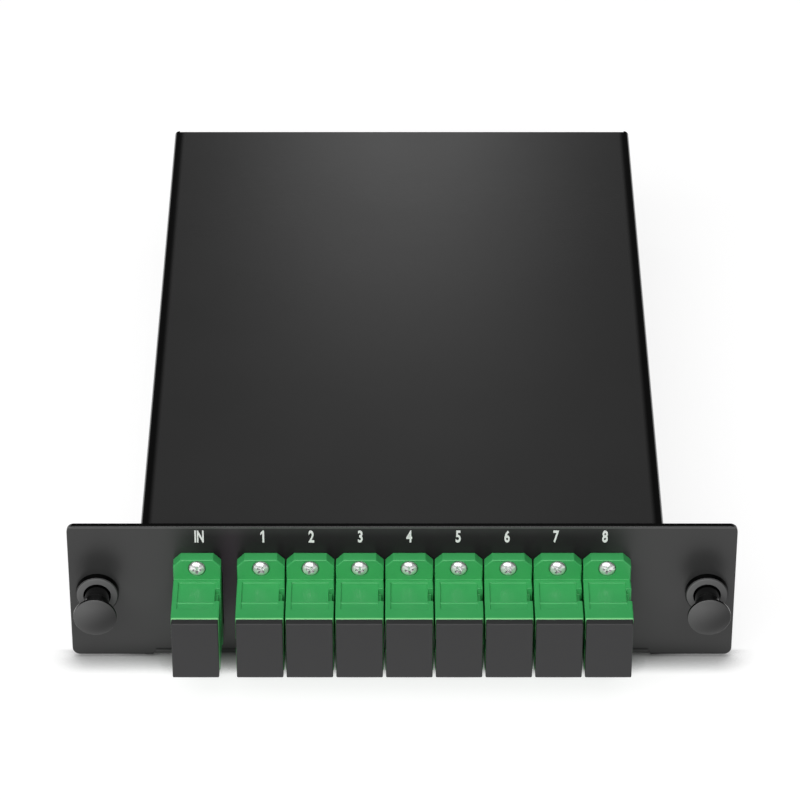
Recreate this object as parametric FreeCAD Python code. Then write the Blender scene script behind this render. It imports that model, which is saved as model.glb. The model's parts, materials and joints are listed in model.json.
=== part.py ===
"""Rack-mount planar lightwave circuit splitter: a black sheet-steel case with nine green SC adapters.

Millimetres, +Z up. While the pieces are made, Y is 0 at the front panel's front face and grows towards
the back of the case. export_all moves everything along Y, so that the origin ends at the bottom centre
of the whole part.
"""

import math
import os

import FreeCAD, Part

Vec = FreeCAD.Vector
X_AXIS, Y_AXIS, Z_AXIS = Vec(1, 0, 0), Vec(0, 1, 0), Vec(0, 0, 1)

# Sheet-metal case
sheet = 1.0                  # thickness of all the folded sheet
ear_width = 14.2             # of the panel beside the case
panel_height = 31.7
ear_lift = 0.7                # the panel's lower edge is this far above the floor's underside
panel_corner = 1.5           # rounded corners of the front panel
panel_edge = 0.2             # softened front edge of the panel
case_side_room = 6.35        # between the end adapters and the outside of the cover's side walls
cover_drop = 1.0             # cover's top face below the panel's top edge
cover_bend = 1.1             # outside radius of the cover's folds
cover_foot = 0.2             # side walls stop this far above the floor's underside
cover_seam = 0.3             # open seam between the side walls and the back flange
cover_corner = 0.45          # side folds stop this far short of the back
floor_bend = 2.0             # outside radius of the fold from panel to floor
floor_bend_inset = 1.4       # from the floor's sides to where the panel's lower edge leaves that fold
upstand_bend = 1.5           # outside radius of the folds from floor to upstands
upstand_height = 9.0
side_upstand_start = 12.0    # along Y
side_upstand_end_gap = 12.0  # from the back of the floor
back_upstand_inset = 8.1     # from the flat floor's sides to the ends of the back upstand
relief = 1.0                 # width of the notches beside a fold
fit_gap = 0.2                # between the cover and what it goes over

# Adapters
port_names = ["in", "1", "2", "3", "4", "5", "6", "7", "8"]
adapter_gap = 0.3            # between neighbouring adapters
in_extra_gap = 2.8           # more room between the input's adapter and the first output's
adapter_z = 14.4
adapter_width = 9.3
adapter_height = 12.8
adapter_length = 28.3
flange_height = 22.0
flange_thick = 2.5
flange_chamfer = 1.5
adapter_side_wall = 0.9      # beside the port
adapter_top_wall = 1.8       # above and below the port
key_width = 2.5
key_length = 5.5
adapter_soft_edge = 0.25
adapter_nose_edge = 0.7      # rounding of the front end's top and bottom edges
cutout_gap = 0.15            # panel cut-out around an adapter's body
label_recess_start = 0.9     # shallow pocket in the adapter's top face, from the flange's front face
label_recess_split = 7.3
label_recess_end = 9.5
label_recess_deep = 0.3
label_recess_shallow = 0.2
label_rib = 0.3
notch_start = 2.9
notch_end = 6.9
notch_width = 1.05
notch_depth = 1.5
side_groove = 0.45
side_groove_height = 6.0

# Adapter core with its ferrule sleeve
core_gap = 0.05              # around the core in the housing
core_plate = 2.0
barrel_radius = 2.4
barrel_reach = 6.7           # each way from the middle of the adapter
sleeve_bore = 1.27
latch_arm_width = 3.0
latch_arm_thick = 0.8
latch_arm_reach = 8.0
latch_arm_play = 0.2         # room for an arm to flex outwards
latch_hook = 0.5
latch_hook_length = 1.2

# Adapter screws
screw_inset = 2.0            # from the flange's top and bottom edges
screw_radius = 1.0
screw_length = 5.0           # under the head
screw_head_radius = 1.6
screw_head_height = 1.1
screw_head_edge = 0.35       # straight edge under the dome
screw_seat_gap = 0.12        # around the head in its shallow seat in the flange
screw_seat_depth = 0.3
screw_turn = 37.0            # each screw is turned this many degrees further than the last
screw_hole_gap = 0.1         # in the flange
thread_gap = 0.02            # between a screw and its tapped hole

# Dust caps
cap_side_inset = 0.15        # narrower than the adapter by this much on each side
cap_lip = 0.05               # and taller by this much above and below
cap_thick = 1.6
cap_edge = 0.25
cap_gap = 0.05               # between cap head and adapter
cap_stem_gap = 0.1
cap_stem_wide_length = 4.2
cap_stem_length = 7.0
cap_stem_tip_half = 3.0
cap_hollow_half_x = 2.85
cap_hollow_half_z = 2.4
cap_travel = 16.0

# Push-pull latches in the panel's ears
latch_inset = 5.5            # from the panel's ends
latch_flange_radius = 4.2
latch_flange_thick = 1.6
latch_flange_edge = 0.3
latch_collar_radius = 3.6    # in the panel's hole
latch_barrel_radius = 3.2    # behind the panel, to the ends of the legs
latch_barrel_length = 9.0    # from the panel's front face
latch_hole_gap = 0.05        # around the collar
latch_ridge = 0.15           # beyond the hole's edge
latch_ridge_length = 0.45
latch_slot = 0.8
latch_slot_start = 2.0
latch_tip_chamfer = 0.6
latch_bore_depth = 5.6       # wide bore, behind the panel's front face
plunger_collar_radius = 2.55
plunger_collar_length = 3.8
plunger_collar_chamfer = 0.15
plunger_neck_radius = 2.4
plunger_gap = 0.1            # around the collar and the pin in the grommet
plunger_pin_radius = 1.7
plunger_pin_length = 3.4
plunger_tip_chamfer = 0.7
plunger_travel = 6.0
plunger_stop_gap = 0.1
plunger_shown_neck = 6.5     # between the latch flange and the knob
knob_radius = 4.2
knob_edge = 1.0
knob_dome = 0.45
knob_soft_edge = 0.2

# Countersunk screws of the cover and the spool
flat_screw_radius = 1.0
flat_head_radius = 1.9
flat_screw_length = 4.0
cover_screw_inset = 13.0     # from the ends of the side upstands
back_screw_inset = 10.0      # from the ends of the back upstand
recess_slot = 0.55           # width of the cross recess in every screw
recess_share = 0.62          # its length as a share of the head's diameter
recess_depth = 0.55

# Plugs on the adapters' back ends
plug_frame_start = 1.2       # all measured from the middle of the adapter
plug_grip_start = 9.0
plug_grip_end = 27.0
plug_frame_half_z = 3.0
plug_gap = 0.1
plug_socket_gap = 0.2
plug_socket_depth = 5.8
plug_key_gap = 0.15
plug_key_height = 0.7
plug_key_length = 10.0
ferrule_radius = 1.25
plug_collar_radius = 2.5
plug_collar_length = 2.0
boot_radius = 2.1
boot_tip_radius = 1.0
boot_length = 12.0

# Fibre tubes, spool and splitter
tube_radius = 0.45
level_spacing = 0.95
lowest_level = 3.4
coil_step = 0.6              # radius lost in each half turn
turn_in_radius = 15.0        # from a plug towards the coil
turn_out_radius = 12.0       # from the coil towards the splitter
drop_start = 1.5             # straight run behind a boot
drop_length = 20.0           # of the step from a plug's height to the coil
row_drop_length = 11.0       # of the step from the coil to a row of the splitter
input_step_length = 29.0     # of the input's steps, sideways and down
input_drop_length = 16.5
input_reach = 13.0           # straight run of the input's loop, towards the panel
plug_spool_gap = 33.25       # between the boots and the spool's foot, along Y
spool_splitter_gap = 7.75    # between the spool's foot and the splitter's clips
spool_gap = 0.3
spool_wall = 1.5
spool_side_gap = 1.1         # between the spool's foot and the floor's right fold
spool_back_gap = 0.3         # and its back fold
spool_foot_rim = 4.0         # beyond the coil
spool_foot_thick = 1.6
spool_tab_rim = 2.5          # beyond the coil
spool_tab_thick = 1.2
spool_tab_width = 10.0
spool_tab_count = 6
spool_boss_radius = 3.0
spool_boss_height = 4.5
spool_screw_count = 3
splitter_wall_gap = 0.05     # between the splitter's clips and the floor's left fold
splitter_width = 7.0
splitter_height = 4.0
splitter_edge = 0.4
lane_spacing = 1.3
row_spacing = 1.6
splitter_end_gap = 0.3
clip_wall = 1.1
clip_length = 8.0
clip_hook = 0.5
clip_hook_height = 0.8
clip_gap = 0.05
clip_inset = 6.0

# Worked out from the sizes above
adapter_pitch = adapter_width + adapter_gap
adapter_end_x = ((len(port_names) - 1) * adapter_pitch + in_extra_gap) / 2
adapter_middle = -flange_thick / 2
adapter_front = adapter_middle - adapter_length / 2
adapter_back = adapter_middle + adapter_length / 2
port_width = adapter_width - 2 * adapter_side_wall
port_height = adapter_height - 2 * adapter_top_wall
label_recess_half = adapter_width / 2 - notch_width
screw_spacing = flange_height - 2 * screw_inset
cap_width = adapter_width - 2 * cap_side_inset
cap_height = adapter_height + 2 * cap_lip
cap_front = adapter_front - cap_gap - cap_thick
case_half = adapter_end_x + adapter_width / 2 + case_side_room
panel_width = 2 * (case_half + ear_width)
cover_top = panel_height - cover_drop
cover_front = sheet + fit_gap
floor_half = case_half - sheet - fit_gap
crown_half = floor_half - floor_bend_inset
fold_half = crown_half + floor_bend - ear_lift
flat_half = floor_half - upstand_bend
back_upstand_half = flat_half - back_upstand_inset
back_screw_x = back_upstand_half - back_screw_inset
cover_screw_z = (upstand_bend + upstand_height) / 2
latch_x = panel_width / 2 - latch_inset
latch_z = (ear_lift + panel_height) / 2
output_count = len(port_names) - 1
row_count = 2
lane_count = output_count // row_count
last_level = lowest_level + level_spacing * output_count
splitter_z = (lowest_level + last_level) / 2
boot_start = adapter_middle + plug_grip_end + plug_collar_length
boot_end = boot_start + boot_length
clip_half = splitter_width / 2 + clip_gap + clip_wall
splitter_x = splitter_wall_gap + clip_half - flat_half
beside_spool = splitter_wall_gap + 2 * clip_half + spool_splitter_gap + spool_side_gap
spool_foot_radius = flat_half - beside_spool / 2
coil_radius = spool_foot_radius - spool_foot_rim
inner_coil_radius = coil_radius - 3 * coil_step
hub_radius = inner_coil_radius - tube_radius - spool_gap
spool_x = flat_half - spool_side_gap - spool_foot_radius
spool_y = boot_end + plug_spool_gap + spool_foot_radius
spool_top = last_level + tube_radius + spool_gap + spool_tab_thick
flat_back = spool_y + spool_foot_radius + spool_back_gap
floor_back = flat_back + upstand_bend
side_upstand_end = floor_back - side_upstand_end_gap
case_depth = floor_back + fit_gap + sheet
lane_turn_back = spool_y + inner_coil_radius - turn_out_radius
splitter_back = lane_turn_back - row_drop_length - splitter_end_gap
input_run_y = spool_y - input_reach - (coil_radius - coil_step)
splitter_front = input_run_y + turn_out_radius + splitter_end_gap
shift_y = -(cap_front + case_depth) / 2


def port_x(name):
    """Place of an adapter along X."""
    if name == "in":
        return -adapter_end_x
    steps_from_last = len(port_names) - 1 - port_names.index(name)
    return adapter_end_x - adapter_pitch * steps_from_last


def block(x0, x1, y0, y1, z0, z1):
    return Part.makeBox(x1 - x0, y1 - y0, z1 - z0, Vec(x0, y0, z0))


def rod(radius, y0, y1, x=0.0, z=0.0):
    """Cylinder along Y."""
    return Part.makeCylinder(radius, y1 - y0, Vec(x, y0, z), Y_AXIS)


def extrude(points, direction):
    """Solid from a closed outline of straight edges."""
    outline = Part.makePolygon(points + [points[0]])
    return Part.Face(outline).extrude(direction)


def turned(profile):
    """Solid of revolution about the Y axis from (radius, y) points."""
    points = [Vec(r, y, 0) for r, y in profile]
    outline = Part.makePolygon(points + [points[0]])
    return Part.Face(outline).revolve(Vec(0, 0, 0), Y_AXIS, 360)


def dome_arc(radius, rim_y, height):
    """Arc from the rim of a dome to its top on the Y axis, bulging towards -Y, for a turned profile."""
    ball = (radius ** 2 + height ** 2) / (2 * height)
    half_angle = math.asin(radius / ball) / 2
    middle = Vec(ball * math.sin(half_angle), rim_y - height + ball * (1 - math.cos(half_angle)), 0)
    return Part.Arc(Vec(radius, rim_y, 0), middle, Vec(0, rim_y - height, 0)).toShape()


def domed(arc, profile):
    """Solid of revolution about the Y axis from a dome's arc and the other (radius, y) points."""
    sides = Part.makePolygon([Vec(r, y, 0) for r, y in profile])
    return Part.Face(Part.Wire([arc] + sides.Edges)).revolve(Vec(0, 0, 0), Y_AXIS, 360)


def fused(shapes):
    whole = shapes[0].fuse(shapes[1:])
    return whole.removeSplitter()


def moved(shape, x=0.0, y=0.0, z=0.0):
    copy = shape.copy()
    copy.translate(Vec(x, y, z))
    return copy


def softened(shape, radius, wanted):
    """Fillets the edges for which wanted(edge's box) is true."""
    edges = [edge for edge in shape.Edges if wanted(edge.BoundBox)]
    return shape.makeFillet(radius, edges) if edges else shape


def near(a, b):
    return abs(a - b) < 1e-4


def fold(outer, length, start, along, first, second):
    """Quarter-round fold of the sheet: start is where its centre line begins, along is the fold's line,
    and first and second are the directions from that line to the faces of its two ends."""
    inner = outer - sheet
    half = math.sqrt(0.5)
    corner = first * half + second * half
    arc_out = Part.Arc(start + first * outer, start + corner * outer, start + second * outer).toShape()
    arc_in = Part.Arc(start + second * inner, start + corner * inner, start + first * inner).toShape()
    edge_a = Part.makeLine(start + second * outer, start + second * inner)
    edge_b = Part.makeLine(start + first * inner, start + first * outer)
    section = Part.Face(Part.Wire([arc_out, edge_a, arc_in, edge_b]))
    return section.extrude(along * length)


def flat_screw_places():
    """(place, outward direction) of every countersunk screw of the cover."""
    places = []
    for y in (side_upstand_start + cover_screw_inset, side_upstand_end - cover_screw_inset):
        places.append((Vec(-case_half, y, cover_screw_z), Vec(-1, 0, 0)))
        places.append((Vec(case_half, y, cover_screw_z), Vec(1, 0, 0)))
    for x in (-back_screw_x, back_screw_x):
        places.append((Vec(x, case_depth, cover_screw_z), Vec(0, 1, 0)))
    return places


def spool_screw_places():
    """Places of the spool's screws on the floor's underside."""
    reach = hub_radius - spool_wall / 2 - spool_boss_radius
    places = []
    for index in range(spool_screw_count):
        angle = 2 * math.pi * index / spool_screw_count + math.pi / 2
        places.append(Vec(spool_x + reach * math.cos(angle), spool_y + reach * math.sin(angle), 0))
    return places


def screw_places():
    """Places of the adapter screws in their seats in the flanges."""
    places = []
    for name in port_names:
        for side in (-1, 1):
            places.append(Vec(port_x(name), screw_seat_depth - flange_thick, adapter_z + side * screw_spacing / 2))
    return places


def panel_outline():
    """Front panel as a flat plate with rounded corners and a softened front edge."""
    plate = block(-panel_width / 2, panel_width / 2, 0, sheet, ear_lift, panel_height)
    plate = softened(plate, panel_corner, lambda b: b.YLength > sheet / 2)
    return softened(plate, panel_edge, lambda b: near(b.YMin, 0) and near(b.YMax, 0))


def fold_window():
    """What is cut from the panel where the fold to the floor begins: its ends rise in an S-curve."""
    radius = (floor_bend - ear_lift) / 2
    middle = ear_lift + radius
    window = block(-fold_half, fold_half, -sheet, 2 * sheet, -sheet, middle)
    crown = block(-crown_half, crown_half, -sheet, 2 * sheet, middle, floor_bend)
    cuts, ears = [window, crown], []
    for side in (-1, 1):
        cuts.append(rod(radius, -sheet, 2 * sheet, side * crown_half, middle))
        ears.append(rod(radius, -sheet, 2 * sheet, side * fold_half, middle))
    return fused(cuts).cut(Part.makeCompound(ears))


def panel_openings():
    """Cut-outs for the adapters, screws and latches."""
    half_width = adapter_width / 2 + cutout_gap
    half_height = adapter_height / 2 + cutout_gap
    z0, z1 = adapter_z - half_height, adapter_z + half_height
    in_x = port_x("in")
    cuts = [block(in_x - half_width, in_x + half_width, -sheet, 2 * sheet, z0, z1)]
    bank_left, bank_right = port_x("1") - half_width, port_x("8") + half_width
    cuts.append(block(bank_left, bank_right, -sheet, 2 * sheet, z0, z1))
    for place in screw_places():
        cuts.append(rod(screw_radius + thread_gap, -sheet, 2 * sheet, place.x, place.z))
    for side in (-1, 1):
        radius = latch_collar_radius + latch_hole_gap
        cuts.append(rod(radius, -sheet, 2 * sheet, side * latch_x, latch_z))
    return cuts


def chassis():
    """Front panel, floor and low upstands, folded from one sheet."""
    panel = panel_outline().cut(fold_window())
    bend_line = Vec(-fold_half, floor_bend, floor_bend)
    front_fold = fold(floor_bend, 2 * fold_half, bend_line, X_AXIS, Vec(0, -1, 0), Vec(0, 0, -1))
    wide_start = floor_bend + relief
    floor_neck = block(-fold_half, fold_half, floor_bend, wide_start, 0, sheet)
    floor_front = block(-floor_half, floor_half, wide_start, side_upstand_start - relief, 0, sheet)
    floor = block(-flat_half, flat_half, wide_start, flat_back, 0, sheet)
    pieces = [panel, front_fold, floor_neck, floor_front, floor]
    side_length = side_upstand_end - side_upstand_start
    for side in (-1, 1):
        line = Vec(side * flat_half, side_upstand_start, upstand_bend)
        pieces.append(fold(upstand_bend, side_length, line, Y_AXIS, Vec(0, 0, -1), Vec(side, 0, 0)))
        x0, x1 = sorted((side * floor_half, side * (floor_half - sheet)))
        pieces.append(block(x0, x1, side_upstand_start, side_upstand_end, upstand_bend, upstand_height))
    line = Vec(-back_upstand_half, flat_back, upstand_bend)
    pieces.append(fold(upstand_bend, 2 * back_upstand_half, line, X_AXIS, Vec(0, 0, -1), Vec(0, 1, 0)))
    pieces.append(block(-back_upstand_half, back_upstand_half, floor_back - sheet, floor_back,
                        upstand_bend, upstand_height))
    body = fused(pieces)
    cuts = panel_openings()
    for place, out in flat_screw_places():
        start = place - out * (2 * upstand_bend + sheet)
        cuts.append(Part.makeCylinder(flat_screw_radius + thread_gap, 2 * upstand_bend + sheet, start, out))
    for place in spool_screw_places():
        cuts.append(flat_screw_hole(place, Vec(0, 0, -1)))
    return body.cut(Part.makeCompound(cuts))


def flat_screw_hole(place, out):
    """Countersunk hole through one sheet; place is on its outer face."""
    sink = flat_head_radius - flat_screw_radius
    cone = Part.makeCone(flat_head_radius + thread_gap, flat_screw_radius + thread_gap, sink, place, -out)
    shank = Part.makeCylinder(flat_screw_radius + thread_gap, 2 * sheet, place, -out)
    return cone.fuse(shank)


def cover():
    """Top, two side walls and back flange, folded from one sheet."""
    inner = cover_bend - sheet
    top_half = case_half - cover_bend
    fold_back = case_depth - cover_bend
    seam_half = case_half - sheet - cover_seam
    wall_top = cover_top - cover_bend
    side_back = case_depth - cover_corner
    pieces = [block(-top_half, top_half, cover_front, fold_back, cover_top - sheet, cover_top)]
    for side in (-1, 1):
        line = Vec(side * top_half, cover_front, wall_top)
        pieces.append(fold(cover_bend, side_back - cover_front, line, Y_AXIS, Z_AXIS, Vec(side, 0, 0)))
        x0, x1 = sorted((side * case_half, side * (case_half - sheet)))
        pieces.append(block(x0, x1, cover_front, side_back, cover_foot, wall_top))
        pieces.append(block(x0, x1, side_back, case_depth, cover_foot, wall_top - inner))
    line = Vec(-top_half, fold_back, wall_top)
    pieces.append(fold(cover_bend, 2 * top_half, line, X_AXIS, Z_AXIS, Y_AXIS))
    pieces.append(block(-top_half, top_half, case_depth - sheet, case_depth, wall_top - inner, wall_top))
    pieces.append(block(-seam_half, seam_half, case_depth - sheet, case_depth, cover_foot, wall_top - inner))
    body = fused(pieces)
    holes = [flat_screw_hole(place, out) for place, out in flat_screw_places()]
    return body.cut(Part.makeCompound(holes))


def cross_recess(head_radius, face, out):
    """Cross-shaped driver recess cut into a head from its outer face."""
    length = 2 * head_radius * recess_share
    slot = Part.makeBox(length, recess_slot, recess_depth + 1, Vec(-length / 2, -recess_slot / 2, 0))
    turned_slot = slot.copy()
    turned_slot.rotate(Vec(0, 0, 0), Z_AXIS, 90)
    cross = slot.fuse(turned_slot)
    cross.translate(Vec(0, 0, -recess_depth))
    cross.Placement = FreeCAD.Placement(face, FreeCAD.Rotation(Z_AXIS, out)).multiply(cross.Placement)
    return cross


def flat_screw(place, out):
    """Countersunk screw with its head flush with the sheet's outer face."""
    sink = flat_head_radius - flat_screw_radius
    head = Part.makeCone(flat_head_radius, flat_screw_radius, sink, place, -out)
    shank = Part.makeCylinder(flat_screw_radius, flat_screw_length, place, -out)
    return head.fuse(shank).removeSplitter().cut(cross_recess(flat_head_radius, place, out))


def pan_screw(place, turn):
    """Domed screw in front of an adapter flange, turned about its axis."""
    shank = rod(screw_radius, -screw_head_height / 2, screw_length)
    bulge = dome_arc(screw_head_radius, -screw_head_edge, screw_head_height - screw_head_edge)
    head = domed(bulge, [(0, -screw_head_height), (0, 0), (screw_head_radius, 0),
                         (screw_head_radius, -screw_head_edge)])
    face = Vec(0, -screw_head_height, 0)
    screw = head.fuse(shank).removeSplitter().cut(cross_recess(screw_head_radius, face, Vec(0, -1, 0)))
    screw.rotate(Vec(0, 0, 0), Y_AXIS, turn)
    return moved(screw, place.x, place.y, place.z)


def adapter_flange():
    half_x, half_z = adapter_width / 2, flange_height / 2
    inner_x, inner_z = half_x - flange_chamfer, half_z - flange_chamfer
    corners = [(-inner_x, half_z), (inner_x, half_z), (half_x, inner_z), (half_x, -inner_z),
               (inner_x, -half_z), (-inner_x, -half_z), (-half_x, -inner_z), (-half_x, inner_z)]
    plate = extrude([Vec(x, -flange_thick, z) for x, z in corners], Vec(0, flange_thick, 0))
    return softened(plate, adapter_soft_edge, lambda b: near(b.YMin, -flange_thick) and near(b.YLength, 0))


def adapter_body():
    half_x, half_z = adapter_width / 2, adapter_height / 2
    body = block(-half_x, half_x, adapter_front, adapter_back, -half_z, half_z)
    body = softened(body, adapter_soft_edge, lambda b: b.YLength > 1)
    return softened(body, adapter_nose_edge,
                    lambda b: near(b.YMin, adapter_front) and near(b.YLength, 0) and b.XLength > half_x)


def adapter_pockets():
    """Shallow label pocket, its dividing rib, the notch and the side groove of the front half."""
    half_x, top = adapter_width / 2, adapter_height / 2
    face = -flange_thick
    high = top + 1
    half = label_recess_half
    split = label_recess_split
    return [
        block(-half, half, face - split, face - label_recess_start, top - label_recess_deep, high),
        block(-half, half, face - label_recess_end, face - split - label_rib,
              top - label_recess_shallow, high),
        block(half_x - notch_width, half_x + 1, face - notch_end, face - notch_start,
              top - notch_depth, high),
        block(half_x - side_groove, half_x + 1, face - notch_end, face - notch_start,
              top - notch_depth - side_groove_height, high),
    ]


def adapter_housing():
    """One moulded housing, with its middle at the origin in X and Z."""
    body = adapter_body().fuse(adapter_flange())
    half_x = adapter_width / 2
    cuts = [block(-port_width / 2, port_width / 2, adapter_front - 1, adapter_back + 1,
                  -port_height / 2, port_height / 2)]
    for y0, y1 in ((adapter_front - 1, adapter_front + key_length), (adapter_back - key_length, adapter_back + 1)):
        cuts.append(block(-half_x - 1, 0, y0, y1, -key_width / 2, key_width / 2))
    for side in (-1, 1):
        z = side * screw_spacing / 2
        cuts.append(rod(screw_radius + screw_hole_gap, -flange_thick - 1, 1, 0, z))
        seat_radius = screw_head_radius + screw_seat_gap
        cuts.append(rod(seat_radius, -flange_thick - 1, screw_seat_depth - flange_thick, 0, z))
    return body.removeSplitter().cut(Part.makeCompound(cuts + adapter_pockets()))


def adapter_core():
    """Sleeve holder: a middle plate, a barrel that holds the ferrule sleeve, and four latch arms."""
    half_x, half_z = port_width / 2 - core_gap, port_height / 2 - core_gap
    pieces = [block(-half_x, half_x, -core_plate / 2, core_plate / 2, -half_z, half_z)]
    pieces.append(rod(barrel_radius, -barrel_reach, barrel_reach))
    arm_out = port_height / 2 - latch_arm_play
    arm_in = arm_out - latch_arm_thick
    hook_in = arm_in - latch_hook
    for side in (-1, 1):
        z0, z1 = sorted((side * arm_in, side * arm_out))
        pieces.append(block(-latch_arm_width / 2, latch_arm_width / 2, -latch_arm_reach, latch_arm_reach, z0, z1))
        for end in (-1, 1):
            y0, y1 = sorted((end * latch_arm_reach, end * (latch_arm_reach - latch_hook_length)))
            h0, h1 = sorted((side * hook_in, side * arm_in))
            pieces.append(block(-latch_arm_width / 2, latch_arm_width / 2, y0, y1, h0, h1))
    core = fused(pieces).cut(rod(sleeve_bore, -barrel_reach - 1, barrel_reach + 1))
    return moved(core, y=adapter_middle)


def dust_cap():
    """Hollow plug with a flat head that covers the adapter's front end."""
    head_back = adapter_front - cap_gap
    head = block(-cap_width / 2, cap_width / 2, cap_front, head_back, -cap_height / 2, cap_height / 2)
    head = softened(head, cap_edge, lambda b: near(b.YMin, cap_front) or b.YLength > cap_thick / 2)
    stem_x = port_width / 2 - cap_stem_gap
    stem_z = port_height / 2 - cap_stem_gap
    stem_wide = block(-stem_x, stem_x, head_back, adapter_front + cap_stem_wide_length, -stem_z, stem_z)
    stem_end = adapter_front + cap_stem_length
    stem_tip = block(-stem_x, stem_x, head_back, stem_end, -cap_stem_tip_half, cap_stem_tip_half)
    hollow = block(-cap_hollow_half_x, cap_hollow_half_x, head_back, stem_end + 1,
                   -cap_hollow_half_z, cap_hollow_half_z)
    return fused([head, stem_wide, stem_tip]).cut(hollow)


def latch_grommet():
    """Flanged bush on the Y axis, held in the panel by a ridge and split into four legs behind it."""
    flange_front = -latch_flange_thick
    flange = turned([(0, flange_front), (latch_flange_radius - latch_flange_edge, flange_front),
                     (latch_flange_radius, flange_front + latch_flange_edge), (latch_flange_radius, 0), (0, 0)])
    barrel_start, barrel_end = -latch_flange_thick / 2, latch_barrel_length
    ridge_start = sheet + latch_hole_gap
    ridge_radius = latch_collar_radius + latch_hole_gap + latch_ridge
    barrel = turned([(0, barrel_start), (latch_collar_radius, barrel_start), (latch_collar_radius, ridge_start),
                     (ridge_radius, ridge_start), (latch_barrel_radius, ridge_start + latch_ridge_length),
                     (latch_barrel_radius, barrel_end - latch_tip_chamfer),
                     (latch_barrel_radius - latch_tip_chamfer, barrel_end), (0, barrel_end)])
    bore = rod(plunger_collar_radius + plunger_gap, flange_front - 1, latch_bore_depth)
    leg_bore = rod(plunger_pin_radius + plunger_gap, 0, barrel_end + 1)
    bush = flange.fuse(barrel).removeSplitter().cut(Part.makeCompound([bore, leg_bore]))
    reach, half = 2 * latch_barrel_radius, latch_slot / 2
    for angle in (45, 135):
        slot = block(-reach, reach, latch_slot_start, barrel_end + 1, -half, half)
        slot.rotate(Vec(0, 0, 0), Y_AXIS, angle)
        bush = bush.cut(slot)
    return bush


def latch_plunger():
    """Knob, collar, neck and pin, pulled out as the photograph shows, on the Y axis."""
    knob_back = -latch_flange_thick - plunger_shown_neck
    rim_front = knob_back - knob_edge
    collar_end = knob_back + plunger_collar_length
    collar_edge = plunger_collar_radius - plunger_collar_chamfer
    neck_end = latch_bore_depth - plunger_stop_gap - plunger_travel
    pin_end = neck_end + plunger_pin_length
    rim = knob_radius - knob_soft_edge
    tip = plunger_pin_radius - plunger_tip_chamfer
    profile = [(0, rim_front - knob_dome), (0, pin_end), (tip, pin_end),
               (plunger_pin_radius, pin_end - plunger_tip_chamfer), (plunger_pin_radius, neck_end),
               (plunger_neck_radius, neck_end), (plunger_neck_radius, collar_end), (collar_edge, collar_end),
               (plunger_collar_radius, collar_end - plunger_collar_chamfer),
               (plunger_collar_radius, knob_back), (rim, knob_back),
               (knob_radius, knob_back - knob_soft_edge), (knob_radius, rim_front + knob_soft_edge),
               (rim, rim_front)]
    return domed(dome_arc(rim, rim_front, knob_dome), profile)


def rear_plug():
    """Plug on an adapter's back end, its boot and ferrule moulded on; Y is from the adapter's middle."""
    half_x = port_width / 2 - plug_gap
    half_z = port_height / 2 - plug_gap
    frame = block(-half_x, half_x, plug_frame_start, plug_grip_start, -plug_frame_half_z, plug_frame_half_z)
    grip = block(-half_x, half_x, plug_grip_start, plug_grip_end, -half_z, half_z)
    grip = softened(grip, adapter_soft_edge, lambda b: b.YLength > 1)
    key_half = key_width / 2 - plug_key_gap
    key = block(-half_x - plug_key_height, 0, plug_grip_start, plug_grip_start + plug_key_length,
                -key_half, key_half)
    collar = rod(plug_collar_radius, plug_grip_end, plug_grip_end + plug_collar_length)
    boot_from = plug_grip_end + plug_collar_length
    boot = Part.makeCone(boot_radius, boot_tip_radius, boot_length, Vec(0, boot_from, 0), Y_AXIS)
    socket_radius = barrel_radius + plug_socket_gap
    socket = rod(socket_radius, plug_frame_start - 1, plug_frame_start + plug_socket_depth)
    ferrule = rod(ferrule_radius, 0, plug_frame_start + plug_socket_depth)
    shell = fused([frame, grip, collar, boot])
    key = key.cut(block(-half_x, half_x, 0, plug_grip_end, -half_z, half_z))
    return moved(fused([shell.cut(socket), key, ferrule]), y=adapter_middle)


class Route:
    """Centre line of a tube: straight runs joined by tangent arcs."""

    def __init__(self, place, heading):
        self.place, self.heading, self.edges = place, heading, []

    def straight(self, length):
        end = self.place + self.heading * length
        if length > 1e-6:
            self.edges.append(Part.makeLine(self.place, end))
        self.place = end

    def turn(self, axis, angle, radius):
        """Right-handed turn about axis, in degrees."""
        if angle < 1e-6:
            return
        centre = self.place + axis.cross(self.heading) * radius
        spin = FreeCAD.Rotation(axis, angle)
        half_spin = FreeCAD.Rotation(axis, angle / 2)
        arm = self.place - centre
        end = centre + spin.multVec(arm)
        self.edges.append(Part.Arc(self.place, centre + half_spin.multVec(arm), end).toShape())
        self.place, self.heading = end, spin.multVec(self.heading)

    def side_step(self, axis, offset, length):
        """S-bend of two equal arcs: offset sideways over length forwards."""
        if abs(offset) < 1e-6:
            self.straight(length)
            return
        angle = 2 * math.atan2(abs(offset), length)
        radius = length / (2 * math.sin(angle))
        way = axis if offset > 0 else -axis
        self.turn(way, math.degrees(angle), radius)
        self.turn(-way, math.degrees(angle), radius)

    def join_coil(self):
        """From heading along +Y onto the coil's right side: a right turn, then a left turn on the coil."""
        reach = turn_in_radius + coil_radius
        angle = math.acos((self.place.x + turn_in_radius - spool_x) / reach)
        self.straight(spool_y - reach * math.sin(angle) - self.place.y)
        self.turn(-Z_AXIS, math.degrees(angle), turn_in_radius)
        self.turn(Z_AXIS, math.degrees(angle), coil_radius)

    def tube(self):
        ring = Part.makeCircle(tube_radius, self.edges[0].Vertexes[0].Point, self.edges[0].tangentAt(
            self.edges[0].FirstParameter))
        line = Part.Wire(self.edges)
        solid = line.makePipeShell([Part.Wire([ring])], True, False)
        wanted = math.pi * tube_radius ** 2 * line.Length
        radii = [edge.Curve.Radius for edge in self.edges if hasattr(edge.Curve, "Radius")]
        print(f"tube length {line.Length:.1f}, smallest radius {min(radii):.1f}, volume share {solid.Volume / wanted:.4f}")
        return solid


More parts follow.
